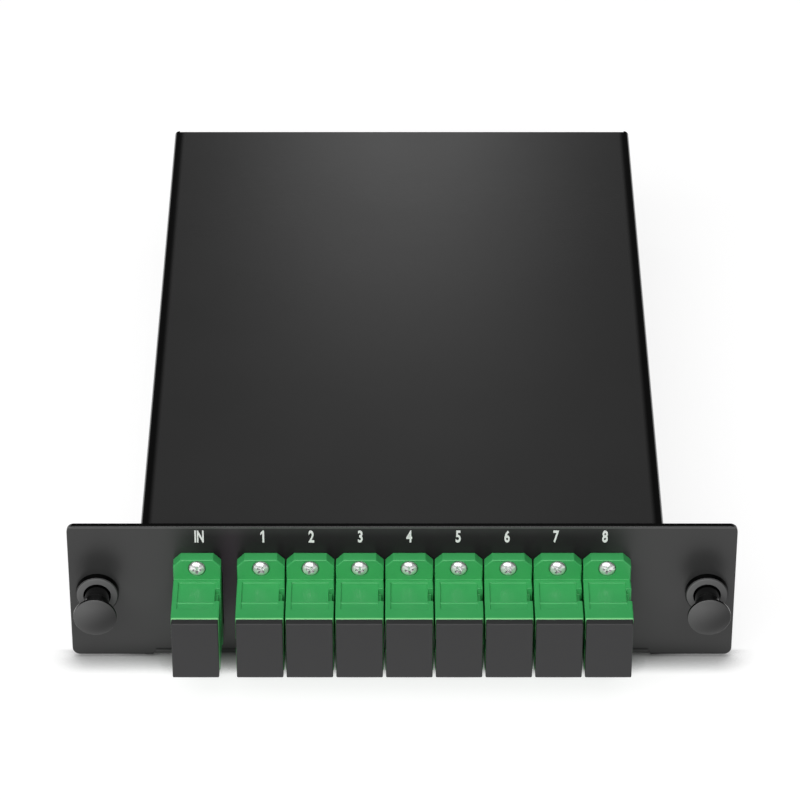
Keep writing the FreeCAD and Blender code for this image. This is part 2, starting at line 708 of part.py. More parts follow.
def output_levels():
    """Stack level, lane and row of each output tube: the middle level is the input's."""
    slots = {}
    for index, name in enumerate(port_names[1:]):
        row, lane = divmod(index, lane_count)
        slots[name] = (index + row, lane, row)
    return slots


def output_tube(name):
    """Down from its plug, more than a turn round the spool, then into the splitter's back end."""
    level, lane, row = output_levels()[name]
    level_z = lowest_level + level_spacing * level
    lane_x = splitter_x + lane_spacing * (lane - (lane_count - 1) / 2)
    row_z = splitter_z + row_spacing * (row - (row_count - 1) / 2)
    route = Route(Vec(port_x(name), boot_end, adapter_z), Y_AXIS)
    route.straight(drop_start)
    route.side_step(X_AXIS, level_z - adapter_z, drop_length)
    route.join_coil()
    for step, angle in enumerate((180, 180, 90), start=1):
        route.turn(Z_AXIS, angle, coil_radius - coil_step * step)
    route.straight(route.place.x - (lane_x + turn_out_radius))
    route.turn(Z_AXIS, 90, turn_out_radius)
    route.side_step(-X_AXIS, row_z - level_z, row_drop_length)
    route.straight(splitter_end_gap)
    return route.tube()


def input_tube():
    """Over to the spool's left side, round it the other way, then into the splitter's front end."""
    route = Route(Vec(port_x("in"), boot_end, adapter_z), Y_AXIS)
    route.straight(drop_start)
    route.side_step(-Z_AXIS, spool_x - coil_radius - port_x("in"), input_step_length)
    route.side_step(X_AXIS, splitter_z - adapter_z, input_drop_length)
    route.straight(spool_y - route.place.y)
    route.turn(-Z_AXIS, 180, coil_radius)
    route.straight(input_reach)
    route.turn(-Z_AXIS, 90, coil_radius - coil_step)
    route.straight(route.place.x - (splitter_x + turn_out_radius))
    route.turn(-Z_AXIS, 90, turn_out_radius)
    route.straight(splitter_end_gap)
    return route.tube()


def spool():
    """Ring that the tubes are wound on, with a foot, holding tabs and three screw bosses."""
    centre = Vec(spool_x, spool_y, sheet)
    height = spool_top - sheet
    inner = hub_radius - spool_wall
    hub = Part.makeCylinder(hub_radius, height, centre)
    foot = Part.makeCylinder(spool_foot_radius, spool_foot_thick, centre)
    tab_z = spool_top - spool_tab_thick
    tab_radius = coil_radius + spool_tab_rim
    tab_ring = Part.makeCylinder(tab_radius, spool_tab_thick, Vec(spool_x, spool_y, tab_z))
    tabs = []
    for index in range(spool_tab_count):
        tab = block(0, 2 * tab_radius, -spool_tab_width / 2, spool_tab_width / 2, tab_z, spool_top)
        tab.rotate(Vec(0, 0, 0), Z_AXIS, 360 * (index + 0.5) / spool_tab_count)
        tabs.append(moved(tab, spool_x, spool_y).common(tab_ring))
    ring = fused([hub, foot] + tabs).cut(Part.makeCylinder(inner, height + 1, centre))
    bosses = []
    for place in spool_screw_places():
        bosses.append(Part.makeCylinder(spool_boss_radius, spool_boss_height, Vec(place.x, place.y, sheet)))
    joined = fused([ring] + bosses)
    holes = [Part.makeCylinder(flat_screw_radius + thread_gap, flat_screw_length, Vec(p.x, p.y, 0))
             for p in spool_screw_places()]
    return joined.cut(Part.makeCompound(holes))


def splitter():
    """Splitter module: a slim sealed box with the chip inside."""
    half_x, half_z = splitter_width / 2, splitter_height / 2
    body = block(splitter_x - half_x, splitter_x + half_x, splitter_front, splitter_back,
                 splitter_z - half_z, splitter_z + half_z)
    return softened(body, splitter_edge, lambda b: b.YLength > 1)


def splitter_clip(y0):
    """Pedestal on the floor with two sprung arms that hold the splitter."""
    half_in, half_out = clip_half - clip_wall, clip_half
    y1 = y0 + clip_length
    seat = splitter_z - splitter_height / 2 - clip_gap
    hook_z = splitter_z + splitter_height / 2 + clip_gap
    top = hook_z + clip_hook_height
    base = block(splitter_x - half_out, splitter_x + half_out, y0, y1, sheet, seat)
    pieces = [base]
    for side in (-1, 1):
        x0, x1 = sorted((side * half_in, side * half_out))
        pieces.append(block(splitter_x + x0, splitter_x + x1, y0, y1, sheet, top))
        x0, x1 = sorted((side * (half_in - clip_hook), side * half_out))
        pieces.append(block(splitter_x + x0, splitter_x + x1, y0, y1, hook_z, top))
    return fused(pieces)


def build():
    """Every node's shape by name."""
    nodes = {"chassis": chassis(), "top_cover": cover()}
    nodes["cover_screws"] = Part.makeCompound([flat_screw(place, out) for place, out in flat_screw_places()])
    nodes["spool_screws"] = Part.makeCompound([flat_screw(p, Vec(0, 0, -1)) for p in spool_screw_places()])
    adapter_screws = [pan_screw(place, index * screw_turn) for index, place in enumerate(screw_places())]
    nodes["adapter_screws"] = Part.makeCompound(adapter_screws)
    grommet, plunger = latch_grommet(), latch_plunger()
    for side, name in ((-1, "left"), (1, "right")):
        nodes["latch_grommet_" + name] = moved(grommet, side * latch_x, 0, latch_z)
        nodes["latch_plunger_" + name] = moved(plunger, side * latch_x, 0, latch_z)
    housing, core, cap, plug = adapter_housing(), adapter_core(), dust_cap(), rear_plug()
    for name in port_names:
        x = port_x(name)
        nodes["adapter_housing_" + name] = moved(housing, x, 0, adapter_z)
        nodes["adapter_core_" + name] = moved(core, x, 0, adapter_z)
        nodes["dust_cap_" + name] = moved(cap, x, 0, adapter_z)
        nodes["rear_plug_" + name] = moved(plug, x, 0, adapter_z)
        nodes["fibre_tube_" + name] = input_tube() if name == "in" else output_tube(name)
    nodes["fibre_spool"] = spool()
    nodes["splitter_module"] = splitter()
    nodes["splitter_clip_front"] = splitter_clip(splitter_front + clip_inset)
    nodes["splitter_clip_back"] = splitter_clip(splitter_back - clip_inset - clip_length)
    return nodes


def export_all():
    os.makedirs("parts", exist_ok=True)
    nodes = build()
    for name, shape in nodes.items():
        moved(shape, y=shift_y).exportStep(os.path.join("parts", name + ".step"))
    print(len(nodes), "nodes written")
    return nodes


nodes = export_all()
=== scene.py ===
# %% [markdown]
# # A fibre-optic splitter cassette
# The real object is a low case of folded sheet steel with a black powder coat. Nine green square
# adapters stand in a row on its front panel, each held by two bright screws and closed by a dark cap,
# and a push-pull latch sits in each ear of the panel.
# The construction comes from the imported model, which is loaded here and never moved. This file gives
# every surface its finish, and remakes the pieces whose roundness or small detail the model leaves plain.

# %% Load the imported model
import json
import math

import bmesh
import bpy
from mathutils import Matrix, Vector

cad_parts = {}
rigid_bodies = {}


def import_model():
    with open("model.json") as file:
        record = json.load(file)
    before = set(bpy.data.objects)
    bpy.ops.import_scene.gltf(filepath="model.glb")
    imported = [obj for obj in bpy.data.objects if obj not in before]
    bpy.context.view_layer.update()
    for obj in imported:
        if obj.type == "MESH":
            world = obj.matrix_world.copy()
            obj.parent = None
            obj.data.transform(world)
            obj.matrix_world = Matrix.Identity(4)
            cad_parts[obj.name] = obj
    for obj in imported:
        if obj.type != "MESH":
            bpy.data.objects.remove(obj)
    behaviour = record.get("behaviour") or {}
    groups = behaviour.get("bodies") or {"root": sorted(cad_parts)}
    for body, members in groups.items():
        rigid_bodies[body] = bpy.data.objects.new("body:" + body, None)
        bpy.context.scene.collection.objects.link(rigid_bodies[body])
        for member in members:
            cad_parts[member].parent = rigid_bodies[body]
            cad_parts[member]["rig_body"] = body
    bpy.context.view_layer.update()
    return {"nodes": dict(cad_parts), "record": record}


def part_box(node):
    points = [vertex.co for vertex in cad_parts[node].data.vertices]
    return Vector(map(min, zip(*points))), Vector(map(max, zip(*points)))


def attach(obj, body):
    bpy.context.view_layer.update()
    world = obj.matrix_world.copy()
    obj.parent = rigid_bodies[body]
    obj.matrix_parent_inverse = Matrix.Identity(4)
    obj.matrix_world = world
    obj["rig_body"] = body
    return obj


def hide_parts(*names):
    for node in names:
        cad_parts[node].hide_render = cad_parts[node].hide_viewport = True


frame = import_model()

nodes = frame["nodes"]
MM = 0.001

# %% [markdown]
# Lengths are read from the model where it has them, so that the finish follows the construction. A box
# gives a piece's corners, and the middle of a box gives an axis for turned pieces such as the latches.

# %% Read the places that the finish needs
port_names = [name.removeprefix("dust_cap_") for name in nodes if name.startswith("dust_cap_")]
sides = ("left", "right")


def middle(node):
    """Centre of a node's box."""
    low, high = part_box(node)
    return (low + high) / 2


panel_low, panel_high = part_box("chassis")
cover_low, cover_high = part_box("top_cover")
print("ports", port_names, "panel", round(panel_high.x / MM, 1), "cover top", round(cover_high.z / MM, 1))

# %% [markdown]
# The camera is a long lens in front of the panel and above it, as in the photograph, where the case
# narrows only a little towards its back. Its place, tilt and focal length were solved together from the
# corners of the lid, the panel and the adapters, each set against the row or column where it is seen.

# %% Camera
camera_place = (-0.0004, -0.7253, 0.5015)
camera_pitch = 33.84         # degrees below the horizon
camera_focal = 4174.2        # in pixels of the picture's width
picture_width = 800

camera_data = bpy.data.cameras.new("camera")
camera_data.sensor_width = 36.0
camera_data.lens = camera_focal / picture_width * camera_data.sensor_width
camera_data.clip_start = 0.01
camera = bpy.data.objects.new("camera", camera_data)
camera.location = camera_place
camera.rotation_euler = (math.radians(90 - camera_pitch), 0, 0)
bpy.context.scene.collection.objects.link(camera)
bpy.context.scene.camera = camera
print("camera lens", round(camera_data.lens, 1), "mm")

# %% [markdown]
# Node maths is easier to read as arithmetic than as a drawing of boxes. `Value` wraps one output socket,
# so that `0.4 + 0.06 * drift` adds the Math nodes by itself. `Tree.node` adds any other node from its
# type, its settings and what goes into its sockets.

# %% Arithmetic on sockets
class Value:
    """One output socket that works in Python arithmetic."""

    def __init__(self, tree, socket):
        self.tree = tree
        self.socket = socket

    def math(self, operation, *terms):
        return self.tree.node("ShaderNodeMath", {"operation": operation}, dict(enumerate(terms)))

    def __add__(self, other):
        return self.math("ADD", self, other)

    def __sub__(self, other):
        return self.math("SUBTRACT", self, other)

    def __rsub__(self, other):
        return self.math("SUBTRACT", other, self)

    def __mul__(self, other):
        return self.math("MULTIPLY", self, other)

    __radd__ = __add__
    __rmul__ = __mul__


class Tree:
    """A node tree that is built by calls."""

    def __init__(self, tree):
        self.tree = tree

    def node(self, kind, settings=None, inputs=None, out=0):
        made = self.tree.nodes.new(kind)
        for key, value in (settings or {}).items():
            setattr(made, key, value)
        for key, value in (inputs or {}).items():
            self.put(made.inputs[key], value)
        return Value(self, made.outputs[out])

    def put(self, socket, value):
        if isinstance(value, Value):
            self.tree.links.new(value.socket, socket)
        else:
            socket.default_value = value


print("socket arithmetic ready")

# %% [markdown]
# A finish is one material. Everything in it reads Object coordinates, in metres, so a pattern's size is
# a real size and stays on the piece when the piece moves. Masks are made with smooth ramps of a
# coordinate or of the surface's direction, and choose where one colour gives way to another.

# %% A finish
class Finish(Tree):
    """One material: a Principled shader and the nodes that vary it over the surface."""

    def __init__(self, name, **constants):
        self.material = bpy.data.materials.new(name)
        self.material.use_nodes = True
        super().__init__(self.material.node_tree)
        self.shader = self.tree.nodes["Principled BSDF"]
        self.place = self.node("ShaderNodeTexCoord", out="Object")
        for socket, value in constants.items():
            self.shader.inputs[socket.replace("_", " ")].default_value = value

    def noise(self, size, detail=2.0):
        """Noise from 0 to 1 whose patches are about size metres across."""
        return self.node("ShaderNodeTexNoise", None,
                         {"Vector": self.place, "Scale": 1 / size, "Detail": detail}, "Fac")

    def ramp(self, value, low, high):
        """0 where value is below low, 1 above high, and smooth between."""
        return self.node("ShaderNodeMapRange", {"interpolation_type": "SMOOTHSTEP"},
                         {"Value": value, "From Min": low, "From Max": high}, "Result")

    def below(self, value, low, high):
        """1 where value is below low, 0 above high, and smooth between."""
        return 1 - self.ramp(value, low, high)

    def blend(self, mask, first, second):
        """Colour first where mask is 0 and second where it is 1."""
        return self.node("ShaderNodeMix", {"data_type": "RGBA"}, {0: mask, 6: first, 7: second}, 2)

    def axis(self, letter):
        """One coordinate of the surface, in metres."""
        return self.node("ShaderNodeSeparateXYZ", None, {0: self.place}, letter)

    def off_centre(self):
        """Distance to the left or right of the object's middle."""
        across = self.axis("X")
        return across.math("ABSOLUTE", across)

    def facing_front(self):
        """1 where the surface faces straight forwards, and less as it turns away."""
        normal = self.node("ShaderNodeNewGeometry", out="Normal")
        return -1 * self.node("ShaderNodeSeparateXYZ", None, {0: normal}, "Y")

    def colour(self, value):
        self.put(self.shader.inputs["Base Color"], value)

    def rough(self, value):
        self.put(self.shader.inputs["Roughness"], value)

    def bump(self, height, depth, strength=1.0, edge=None):
        """Bump from a height of 0 to 1 that is depth metres deep, with edges that shine edge metres wide."""
        inputs = {"Height": height, "Distance": depth, "Strength": strength}
        if edge:
            inputs["Normal"] = self.node("ShaderNodeBevel", {"samples": 6}, {"Radius": edge})
        self.put(self.shader.inputs["Normal"], self.node("ShaderNodeBump", None, inputs))


def grey(level):
    return (level, level, level, 1.0)


print("finishes ready")

# %% [markdown]
# Powder coat is a baked plastic skin over folded steel. It is satin rather than glossy, slightly uneven
# in shine, and has a fine orange peel a few tenths of a millimetre across. Two noises do this: a wide
# one drifts the shade and the roughness, and a fine one makes the grain in the bump. A picture of such a
# coat could be wrapped round the sheet instead, but noise has no seams at the folds.

# %% The skin of the powder coat
coat_specular = 0.45
peel_size = 0.32 * MM
peel_depth = 0.012 * MM
peel_strength = 0.6
drift_size = 30 * MM


def coat_noise(finish):
    """The drift of the coat's shade, and the grain of its skin."""
    grain = finish.noise(peel_size, 2.0)
    finish.bump(grain, peel_depth, peel_strength)
    return finish.noise(drift_size, 3.0), grain


print("orange peel of", round(peel_size / MM, 2), "mm")

# %% [markdown]
# The panel isn't one even grey: light and shade are painted into its coat. Its cut top edge is painted
# nearly black as painted shade, and a painted highlight runs just below it. Painted shade darkens the coat
# between the labels and the adapters. Under the panel the sheet bends back, and that is painted as a dark
# shadow line over a paler strip of painted reflection, while the low edge of each ear gets a painted shadow
# line. Masks of height, width and depth choose these places. Each is a pair of lengths between which one
# shade gives way to the next. Thin strips laid on the panel would show the same lines, but a mask leaves
# its mesh alone.

# %% The panel's powder coat
# Painted shade: the cut top edge of the panel is painted nearly black.
painted_edge_shade_end = (0.04 * MM, 0.16 * MM)       # below the panel's top, as are the next three
# Painted highlight: a light line painted just below the top edge.
painted_highlight_start = (0.16 * MM, 0.25 * MM)
painted_highlight_end = (0.45 * MM, 0.60 * MM)
# Painted shade between the labels and the adapters, which also cancels the green that they reflect.
painted_shade_lift_end = (0.3 * MM, 2.8 * MM)
painted_shade_lift = 0.45                      # how much weaker the shade above the ports is at the top
painted_shade_start = (7 * MM, 15 * MM)        # height
painted_shade_end = (37 * MM, 47 * MM)         # distance from the middle
painted_port_shade = (0.0090, 0.0010, 0.0075, 1)    # takes away the green that the adapters reflect, too
fold_half = cover_high.x - 2.0 * MM         # half the width of the bend under the panel
fold_fade = 0.5 * MM
fold_depth = (1.9 * MM, 2.1 * MM)           # behind the panel's face
# Painted reflection on the front of the bend, and a painted shadow line along its top.
painted_fold_strip_top = (1.75 * MM, 1.90 * MM)     # height
painted_fold_shadow_top = (2.20 * MM, 2.35 * MM)      # height
# Painted shadow along the low edge of each ear.
painted_ear_shadow_top = (0.85 * MM, 1.05 * MM)       # height
painted_line_shade = 0.002
painted_highlight_level = 0.090
painted_fold_reflection = 0.070


def painted_fold_masks(finish, height, across):
    """Masks for the painted reflection on the front of the bend under the panel, and for the painted shadow
    line along its top.
    """
    behind = finish.axis("Y") - panel_low.y
    on_fold = finish.below(across, fold_half - fold_fade, fold_half) * finish.below(behind, *fold_depth)
    front = on_fold * finish.below(height, *painted_fold_strip_top)
    return front, on_fold * finish.below(height, *painted_fold_shadow_top) - front


def panel_powder_coat():
    finish = Finish("panel_powder_coat", Specular_IOR_Level=coat_specular)
    drift, grain = coat_noise(finish)
    height = finish.axis("Z")
    across = finish.off_centre()
    under_top = panel_high.z - height
    painted_edge_shade = finish.below(under_top, *painted_edge_shade_end)
    painted_highlight = finish.ramp(under_top, *painted_highlight_start) - finish.ramp(under_top, *painted_highlight_end)
    near_top = finish.below(under_top, *painted_shade_lift_end)
    painted_shade_above_ports = finish.ramp(height, *painted_shade_start) * finish.below(across, *painted_shade_end)
    painted_shade_above_ports = painted_shade_above_ports * (1 - painted_shade_lift * near_top)
    painted_fold_strip, painted_fold_shadow = painted_fold_masks(finish, height, across)
    painted_ear_shadow = finish.below(height, *painted_ear_shadow_top) * finish.ramp(across, fold_half, fold_half + fold_fade)
    shade = finish.blend(drift, grey(0.032), grey(0.038))
    shade = finish.blend(painted_shade_above_ports, shade, painted_port_shade)
    shade = finish.blend(painted_highlight, shade, grey(painted_highlight_level))
    shade = finish.blend(painted_fold_strip, shade, grey(painted_fold_reflection))
    # Painted shade: the top edge, the line over the bend and the foot of each ear are painted nearly black.
    finish.colour(finish.blend(painted_edge_shade + painted_fold_shadow + painted_ear_shadow, shade, grey(painted_line_shade)))
    finish.rough(0.28 + 0.04 * drift + 0.04 * grain - 0.24 * painted_edge_shade + 0.3 * painted_fold_shadow)
    return finish.material


panel_coat = panel_powder_coat()
print("made", panel_coat.name)

# %% [markdown]
# The cover has the same coat, a little smoother, so that the lid mirrors the soft light behind it. Its
# side folds look nearly black in the photograph, so a mask of width darkens them.

# %% The cover's powder coat
# Painted shade: the side folds are painted nearly black, as a painted dark reflection.
painted_side_fold_start = (2.5 * MM, 1.3 * MM)      # inside the cover's outer face
painted_side_fold_shade = 0.0015


def cover_powder_coat():
    finish = Finish("cover_powder_coat", Specular_IOR_Level=coat_specular)
    drift, grain = coat_noise(finish)
    low, high = (cover_high.x - inset for inset in painted_side_fold_start)
    painted_side_fold_mask = finish.ramp(finish.off_centre(), low, high)
    shade = finish.blend(drift, grey(0.026), grey(0.031))
    finish.colour(finish.blend(painted_side_fold_mask, shade, grey(painted_side_fold_shade)))
    finish.rough(0.195 + 0.04 * drift + 0.03 * grain - 0.12 * painted_side_fold_mask)
    return finish.material


cover_coat = cover_powder_coat()
print("made", cover_coat.name)

# %% [markdown]
# The adapters are moulded in green plastic with a half-gloss skin. Light goes a little way into it, so
# the colour is cloudy rather than flat. A painted highlight makes it palest along the front edge of the
# nose. A very fine bump stands for the texture of the mould, and a Bevel node lets every edge catch a
# line of light.

# %% Green moulded plastic
edge_shine = 0.16 * MM       # how wide a moulded edge catches the light
nose_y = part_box("adapter_housing_in")[0].y
# Painted highlight along the front edge of each adapter's nose.
nose_highlight_end = (0.35 * MM, 0.60 * MM)           # behind the adapter's front
green_dark = (0.042, 0.375, 0.104, 1)
green_light = (0.053, 0.420, 0.118, 1)
painted_nose_highlight = (0.200, 0.640, 0.240, 1)


def green_plastic():
    finish = Finish("green_plastic")
    cloud = finish.noise(4.5 * MM, 2.0)
    skin = finish.noise(0.25 * MM, 1.0)
    nose_highlight_mask = finish.below(finish.axis("Y") - nose_y, *nose_highlight_end)
    shade = finish.blend(cloud, green_dark, green_light)
    finish.colour(finish.blend(nose_highlight_mask, shade, painted_nose_highlight))
    finish.rough(0.28 + 0.08 * cloud)
    finish.bump(skin, 0.006 * MM, 0.5, edge=edge_shine)
    return finish.material


green = green_plastic()
print("made", green.name)

# %% [markdown]
# The other plastics differ in colour and shine: matte grey for the dust caps, and white for the cores
# and clips. Each gets a soft cloudiness and a moulded grain, and the caps get shining edges too. They
# differ only in their numbers, so one function makes them all.

# %% Plain plastics
cloud_dark = 0.9             # of a plastic's colour, where its clouds are deepest


def moulded(name, colour, roughness, cloud_size=4 * MM, grain_size=0.3 * MM,
            grain_depth=0.006 * MM, edge=None):
    """Finish of a moulded plastic with a linear colour."""
    finish = Finish(name)
    cloud = finish.noise(cloud_size, 2.0)
    grain = finish.noise(grain_size, 2.0)
    deeper = tuple(cloud_dark * part for part in colour)
    finish.colour(finish.blend(cloud, deeper + (1.0,), tuple(colour) + (1.0,)))
    finish.rough(roughness + 0.06 * cloud + 0.04 * grain)
    finish.bump(grain, grain_depth, 0.6, edge=edge)
    return finish.material


cap_plastic = moulded("dark_grey_plastic", (0.026, 0.026, 0.027), 0.50,
                      grain_depth=0.010 * MM, edge=edge_shine)
white_plastic = moulded("white_plastic", (0.80, 0.80, 0.77), 0.35)
print("made", cap_plastic.name, white_plastic.name)

# %% [markdown]
# The latches are glossy black nylon. In the photograph the face of a knob and the front of its bush are
# a soft grey, palest at the upper left, while their sides are black. A mask of the surface's direction
# and a slanting ramp over each latch do the same. Another lamp would do it too, but would light the rest.

# %% Black nylon
# Painted light: forward faces are painted pale, with a painted highlight to the upper left of each latch.
latch_middle = middle("latch_plunger_" + sides[-1])
front_start = (0.60, 0.86)                  # how far a surface faces forwards, where 1 is straight
lit_start = (-4 * MM, 6 * MM)               # along the slanting line
lit_slant = 0.8


def black_nylon(name, shine, painted_front_level, lit_level):
    """Glossy black with painted light where it faces forwards, duller there, and a painted highlight to its
    upper left.
    """
    finish = Finish(name, Specular_IOR_Level=shine)
    front = finish.ramp(finish.facing_front(), *front_start)
    grain = finish.noise(0.3 * MM, 2.0)
    across = finish.axis("X")
    centre = latch_middle.x * across.math("SIGN", across)
    lit_side = finish.axis("Z") - latch_middle.z - lit_slant * (across - centre)
    lit_side = finish.ramp(lit_side, *lit_start)
    painted_light = finish.blend(lit_side, grey(painted_front_level), grey(lit_level))
    finish.colour(finish.blend(front, grey(0.001), painted_light))
    finish.rough(0.13 + 0.15 * front + 0.04 * grain)
    finish.bump(grain, 0.005 * MM, 0.5, edge=edge_shine)
    return finish.material


latch_nylon = black_nylon("black_nylon", 0.42, 0.001, 0.110)
bush_nylon = black_nylon("bush_nylon", 0.06, 0.120, 0.180)
print("made", latch_nylon.name, bush_nylon.name)

# %% [markdown]
# The bright screws are nickel-plated steel with a slight haze. A pure metal only mirrors the room, and
# its recess would go black, so the finish is half metal and half pale. The rim of each dome, which turns
# away from the front by half a right angle, gets a painted shade. The splitter's case is plain anodised
# metal.

# %% Bright metal
rim_shade_start = (0.46, 0.56)                    # how far a surface faces forwards
rim_shade_end = (0.66, 0.76)
haze_dark = 0.92                            # of a metal's level, where its haze is deepest


def plated(name, level, roughness, haze_size=0.6 * MM, metal=1.0, painted_rim_shade=None):
    """Finish of a metal of a grey level, with a painted shade of another level on its rim if one is given.
    """
    finish = Finish(name, Metallic=metal)
    haze = finish.noise(haze_size, 3.0)
    shade = finish.blend(haze, grey(level * haze_dark), grey(level))
    if painted_rim_shade is not None:
        # Painted shade on the rim of each dome.
        facing = finish.facing_front()
        rim = finish.ramp(facing, *rim_shade_start) - finish.ramp(facing, *rim_shade_end)
        shade = finish.blend(rim, shade, grey(painted_rim_shade))
    finish.colour(shade)
    finish.rough(roughness + 0.12 * haze)
    return finish.material


nickel = plated("bright_nickel", 1.0, 0.16, metal=0.50, painted_rim_shade=0.03)
anodised = plated("anodised_case", 0.70, 0.30, 2 * MM)
print("made", nickel.name, anodised.name)

# %% [markdown]
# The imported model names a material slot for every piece, and each slot gets one finish. A fibre's
# jacket has its own colour in the model, so slots that aren't named here take theirs from it. The cover
# and the latch bushes share a slot with other pieces but have a finish of their own.

# %% Give every piece its finish
slot_finish = {
    "black_powder_coat": panel_coat,
    "adapter_green": green,
    "plug_green": green,
    "black_screw": moulded("black_screw_coat", (0.03, 0.03, 0.032), 0.35),
    "bright_screw": nickel,
    "core_white": white_plastic,
    "cap_grey": cap_plastic,
    "latch_black": latch_nylon,
    "spool_black": moulded("spool_plastic", (0.03, 0.03, 0.03), 0.45),
    "splitter_steel": anodised,
    "clip_white": moulded("natural_nylon", (0.75, 0.74, 0.68), 0.45),
}
for entry in frame["record"]["materials"]:
    if entry["slot"] not in slot_finish:
        slot_finish[entry["slot"]] = moulded(entry["slot"] + "_jacket", entry["base_color"][:3], 0.4)
slot_of = {entry["node"]: entry["material_slot"] for entry in frame["record"]["subparts"]}
finish_of = {node: slot_finish[slot] for node, slot in slot_of.items()}
finish_of["top_cover"] = cover_coat
for side in sides:
    finish_of["latch_grommet_" + side] = bush_nylon
for node, material in finish_of.items():
    nodes[node].data.materials.clear()
    nodes[node].data.materials.append(material)
print("finishes", len(slot_finish), "on", len(slot_of), "nodes")

# %% [markdown]
# Every new piece in this file is added in the same way: it is linked to the scene, then put on the body
# that it rides on, and the model's nodes that it stands for are hidden.

# %% Add a piece
def add_object(name, mesh):
    made = bpy.data.objects.new(name, mesh)
    bpy.context.scene.collection.objects.link(made)
    return made


def belongs(piece, body, slot, *replaced):
    """Puts a new piece on the body that it rides on and hides the nodes that it stands for; slot is not
    used.
    """
    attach(piece, body)
    if replaced:
        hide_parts(*replaced)
    return piece


def plain_mesh(thing):
    """The evaluated object as a mesh with nothing live on it."""
    bpy.context.view_layer.update()
    evaluated = thing.evaluated_get(bpy.context.evaluated_depsgraph_get())
    return bpy.data.meshes.new_from_object(evaluated)


def to_mesh(shape, name):
    mesh = bpy.data.meshes.new(name)
    shape.to_mesh(mesh)
    shape.free()
    return mesh


def stand_in(made, node):
    """Keeps what an object's modifiers make as a plain mesh, and puts it in a node's place."""
    finished = plain_mesh(made)
    made.modifiers.clear()
    made.data = finished
    finished.name = made.name
    finished.materials.clear()
    finished.materials.append(finish_of[node])
    return belongs(made, nodes[node]["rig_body"], slot_of[node], node)


print("helpers for new pieces ready")

# %% [markdown]
# Real edges are never quite sharp: folded sheet keeps a tiny radius under its powder, and moulded plastic
# takes the radius of its mould. Such an edge catches a thin line of light. The model's faces come as
# loose triangles, so each visible piece is copied and its triangles are joined, into whole flat faces
# where it has any, and a Bevel modifier rounds every edge that turns sharply. The normals that came
# with the triangles no longer fit the joined faces, so they are dropped. The chassis and the cover have
# their bends already, and only get smooth normals.

# %% Copy pieces with softened edges
same_place = 0.0005 * MM     # corners closer than this are one
flat_angle = 0.4             # degrees between faces that are one flat face
sharp_angle = 30             # degrees between faces with a sharp edge between them
bevel_angle = 32             # degrees between faces whose edge is rounded
bevel_segments = 2


def joined_faces(node, whole):
    """A copy of a node's mesh with its triangles joined, into whole flat faces if asked."""
    shape = bmesh.new()
    shape.from_mesh(nodes[node].data)
    bmesh.ops.remove_doubles(shape, verts=shape.verts, dist=same_place)
    if whole:
        flat = math.radians(flat_angle)
        bmesh.ops.dissolve_limit(shape, angle_limit=flat, verts=shape.verts, edges=shape.edges)
    mesh = to_mesh(shape, node + "_soft")
    if "custom_normal" in mesh.attributes:
        mesh.attributes.remove(mesh.attributes["custom_normal"])
    return mesh


def round_edges(made, width, segments, angle):
    """Adds a Bevel modifier that rounds the edges that turn by more than an angle in degrees."""
    bevel = made.modifiers.new("soft_edges", "BEVEL")
    bevel.width = width
    bevel.segments = segments
    bevel.limit_method = "ANGLE"
    bevel.angle_limit = math.radians(angle)
    bevel.harden_normals = True
    return bevel


def soften(node, width, whole):
    """Replaces a node by a copy with smooth normals, whose sharp edges are rounded if width isn't 0."""
    mesh = joined_faces(node, whole)
    mesh.shade_smooth()
    mesh.set_sharp_from_angle(angle=math.radians(sharp_angle))
    made = add_object(node + "_soft", mesh)
    if width:
        round_edges(made, width, bevel_segments, bevel_angle).use_clamp_overlap = False
    else:
        made.modifiers.new("smooth_normals", "WEIGHTED_NORMAL").keep_sharp = True
    return stand_in(made, node)


soft_edges = {"chassis": (0, False), "top_cover": (0, False)}
for port in port_names:
    soft_edges["adapter_housing_" + port] = (0.09 * MM, True)
    soft_edges["dust_cap_" + port] = (0.08 * MM, True)
for side in sides:
    soft_edges["latch_grommet_" + side] = (0.10 * MM, False)
softened = [soften(node, width, whole) for node, (width, whole) in soft_edges.items()]
print("softened", len(softened), "pieces, faces", sum(len(piece.data.polygons) for piece in softened))

# %% [markdown]
# Screws and knobs are turned shapes. Their meshes are made as on a lathe: a half outline is carried
# round an axis in small steps, and a point on the axis closes each end. Blender's Screw modifier would
# turn them too, but would leave a hole or doubled points there.

# %% A lathe
def lathe(profile, segments):
    """Closed solid turned about the Y axis from (radius, y) points; the first and last have radius 0."""
    shape = bmesh.new()
    rings = []
    for radius, y in profile:
        if radius == 0:
            rings.append([shape.verts.new((0, y, 0))])
            continue
        turns = [2 * math.pi * step / segments for step in range(segments)]
        rings.append([shape.verts.new((radius * math.cos(t), y, radius * math.sin(t))) for t in turns])
    for ring, other in zip(rings, rings[1:]):
        for step in range(segments):
            after = (step + 1) % segments
            if len(ring) == 1:
                shape.faces.new((ring[0], other[step], other[after]))
            elif len(other) == 1:
                shape.faces.new((ring[step], ring[after], other[0]))
            else:
                shape.faces.new((ring[step], ring[after], other[after], other[step]))
    bmesh.ops.recalc_face_normals(shape, faces=shape.faces)
    return shape


def dome(radius, rise, top, steps):
    """Points of a shallow dome, from its top on the axis to its rim."""
    ball = (radius ** 2 + rise ** 2) / (2 * rise)
    points = []
    for step in range(steps + 1):
        angle = math.asin(radius / ball) * step / steps
        points.append((ball * math.sin(angle), top + ball * (1 - math.cos(angle))))
    return points


print("lathe ready")

# %% [markdown]
# Every adapter is held by two pan-head screws with a cross recess. One screw is turned from its profile,
# and the cross is cut with a tapered plug, as the punch that makes it is tapered. A cross drawn in the
# finish would cost less, but it would stay flat from the side. The cut leaves a few slivers too small to
# see, which are merged away.

